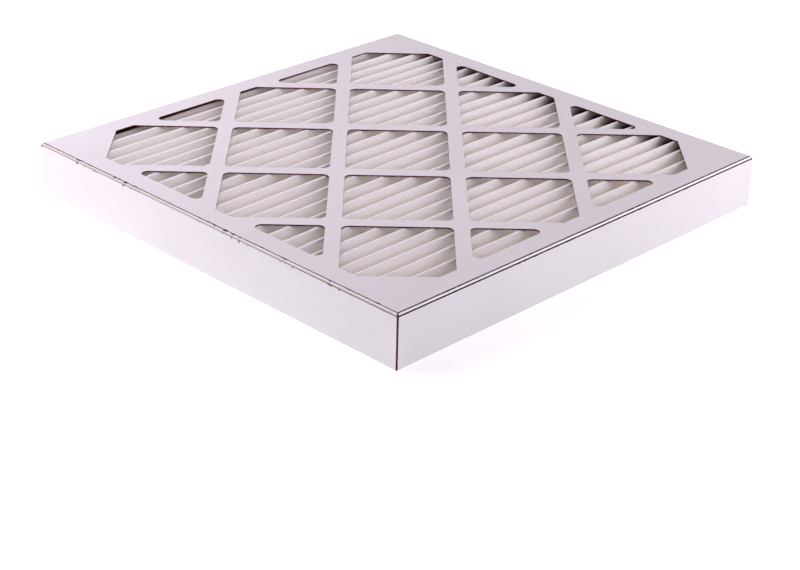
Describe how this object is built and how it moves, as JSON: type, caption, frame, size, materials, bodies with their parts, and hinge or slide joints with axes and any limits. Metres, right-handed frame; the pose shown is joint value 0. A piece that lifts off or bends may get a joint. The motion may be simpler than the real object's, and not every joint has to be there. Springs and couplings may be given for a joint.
{
  "type": "panel air filter",
  "caption": "Square panel air filter: pleated white non-woven media held between nested die-cut card trays with diamond grilles.",
  "frame": {"origin": "middle of the air-leaving face, on the surface that the panel lies on", "axes": "+Z out of the air-entering face, against the air flow; +X along the pleats; +Y across the pleats"},
  "size_m": [0.495, 0.495, 0.0525],
  "materials": {
    "white_card": "matt clay-coated white outside, brown kraft inside and at the cut edges",
    "filter_media": "soft white non-woven"
  },
  "bodies": {
    "root": {"outer_card_tray": "white_card", "inner_card_tray": "white_card", "pleated_media": "filter_media"}
  },
  "joints": []
}
